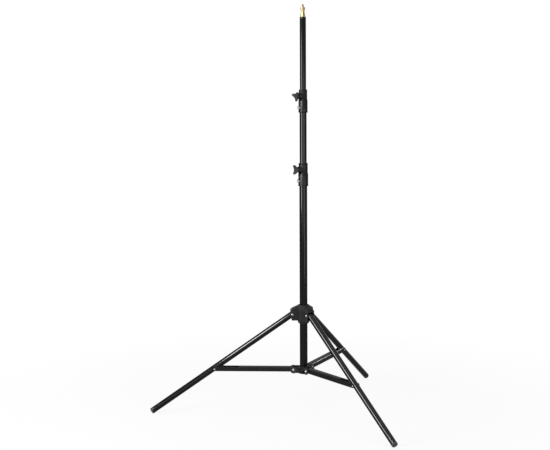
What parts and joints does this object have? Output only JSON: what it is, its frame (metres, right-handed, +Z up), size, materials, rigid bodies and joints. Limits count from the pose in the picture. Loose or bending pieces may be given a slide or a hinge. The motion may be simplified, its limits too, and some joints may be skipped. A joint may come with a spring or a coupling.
{
  "type": "telescopic lighting stand",
  "caption": "Telescopic lighting stand: a tube mast in sections with clamp collars and winged locking knobs, on a folding braced tripod base, topped by a grooved brass spigot.",
  "frame": {"origin": "on the mast axis, at the floor that the feet stand on", "axes": "+Z up along the mast; one leg points along -X, the other two 60 degrees either side of +X"},
  "size_m": [0.8437, 0.9708, 1.4655],
  "materials": {
    "black_tube": "black anodised, glossy",
    "dark_casting": "black powder coat, satin",
    "black_sheet": "black anodised, satin",
    "knob_plastic": "satin black",
    "plug_plastic": "matt black",
    "nylon": "matt, natural",
    "bright_steel": "zinc plated, bright",
    "brass": "turned, bright",
    "foot_rubber": "matt"
  },
  "bodies": {
    "base": {"lower_tube": "black_tube", "mast_plug": "plug_plastic", "brace_hub": "dark_casting", "hub_screw": "bright_steel", "hub_rivets": "bright_steel", "lower_collar": "dark_casting", "lower_bush": "nylon", "lower_clamp_bolt": "bright_steel", "lower_clamp_nut": "bright_steel", "lower_brake_shoe": "nylon"},
    "lower_knob": {"lower_knob": "knob_plastic", "lower_knob_stud": "bright_steel"},
    "middle_mast": {"middle_tube": "black_tube", "middle_tube_guide": "nylon", "upper_collar": "dark_casting", "upper_bush": "nylon", "upper_clamp_bolt": "bright_steel", "upper_clamp_nut": "bright_steel", "upper_brake_shoe": "nylon"},
    "upper_knob": {"upper_knob": "knob_plastic", "upper_knob_stud": "bright_steel"},
    "top_mast": {"top_tube": "black_tube", "top_tube_guide": "nylon", "spigot_socket": "dark_casting", "spigot": "brass", "spigot_pin": "bright_steel"},
    "shoulder": {"shoulder": "dark_casting", "leg_rivets": "bright_steel", "base_brake_shoe": "nylon"},
    "base_knob": {"base_knob": "knob_plastic", "base_knob_stud": "bright_steel"},
    "left_leg": {"left_leg_tube": "black_tube", "left_leg_plug": "plug_plastic", "left_leg_foot": "foot_rubber"},
    "left_brace": {"left_brace": "black_sheet", "left_brace_rivet": "bright_steel"},
    "front_leg": {"front_leg_tube": "black_tube", "front_leg_plug": "plug_plastic", "front_leg_foot": "foot_rubber"},
    "front_brace": {"front_brace": "black_sheet", "front_brace_rivet": "bright_steel"},
    "rear_leg": {"rear_leg_tube": "black_tube", "rear_leg_plug": "plug_plastic", "rear_leg_foot": "foot_rubber"},
    "rear_brace": {"rear_brace": "black_sheet", "rear_brace_rivet": "bright_steel"}
  },
  "joints": [
    {"name": "shoulder_slide", "type": "slide", "parent": "base", "child": "shoulder", "axis": [0, 0, 1], "range_m": [0, 0.42651]},
    {"name": "mid_slide", "type": "slide", "parent": "base", "child": "middle_mast", "axis": [0, 0, 1], "range_m": [-0.18, 0.385]},
    {"name": "top_slide", "type": "slide", "parent": "middle_mast", "child": "top_mast", "axis": [0, 0, 1], "range_m": [-0.25, 0.315]},
    {"name": "lower_knob_turn", "type": "hinge", "parent": "base", "child": "lower_knob", "pos_m": [-0.01925, -0.01348, 0.88405], "axis": [-0.8192, -0.5736, 0], "range_deg": [0, 540]},
    {"name": "upper_knob_turn", "type": "hinge", "parent": "middle_mast", "child": "upper_knob", "pos_m": [-0.01802, -0.01262, 1.14505], "axis": [-0.8192, -0.5736, 0], "range_deg": [0, 540]},
    {"name": "base_knob_turn", "type": "hinge", "parent": "shoulder", "child": "base_knob", "pos_m": [-0.0125, 0.02165, 0.36064], "axis": [-0.5, 0.866, 0], "range_deg": [0, 540]},
    {"name": "left_leg_fold", "type": "hinge", "parent": "shoulder", "child": "left_leg", "pos_m": [-0.0407, 0, 0.36064], "axis": [0, -1, 0], "range_deg": [0, 55.46]},
    {"name": "left_brace_fold", "type": "hinge", "parent": "base", "child": "left_brace", "pos_m": [-0.0377, 0, 0.15664], "axis": [0, 1, 0], "range_deg": [0, 88.83]},
    {"name": "front_leg_fold", "type": "hinge", "parent": "shoulder", "child": "front_leg", "pos_m": [0.02035, -0.03525, 0.36064], "axis": [0.866, 0.5, 0], "range_deg": [0, 55.46]},
    {"name": "front_brace_fold", "type": "hinge", "parent": "base", "child": "front_brace", "pos_m": [0.01885, -0.03265, 0.15664], "axis": [-0.866, -0.5, 0], "range_deg": [0, 88.83]},
    {"name": "rear_leg_fold", "type": "hinge", "parent": "shoulder", "child": "rear_leg", "pos_m": [0.02035, 0.03525, 0.36064], "axis": [-0.866, 0.5, 0], "range_deg": [0, 55.46]},
    {"name": "rear_brace_fold", "type": "hinge", "parent": "base", "child": "rear_brace", "pos_m": [0.01885, 0.03265, 0.15664], "axis": [0.866, -0.5, 0], "range_deg": [0, 88.83]}
  ],
  "couplings": [
    {"joint": "left_leg_fold", "follows": "shoulder_slide", "rad_per_m": 2.2691},
    {"joint": "left_brace_fold", "follows": "shoulder_slide", "rad_per_m": 3.6347},
    {"joint": "front_leg_fold", "follows": "shoulder_slide", "rad_per_m": 2.2691},
    {"joint": "front_brace_fold", "follows": "shoulder_slide", "rad_per_m": 3.6347},
    {"joint": "rear_leg_fold", "follows": "shoulder_slide", "rad_per_m": 2.2691},
    {"joint": "rear_brace_fold", "follows": "shoulder_slide", "rad_per_m": 3.6347}
  ]
}
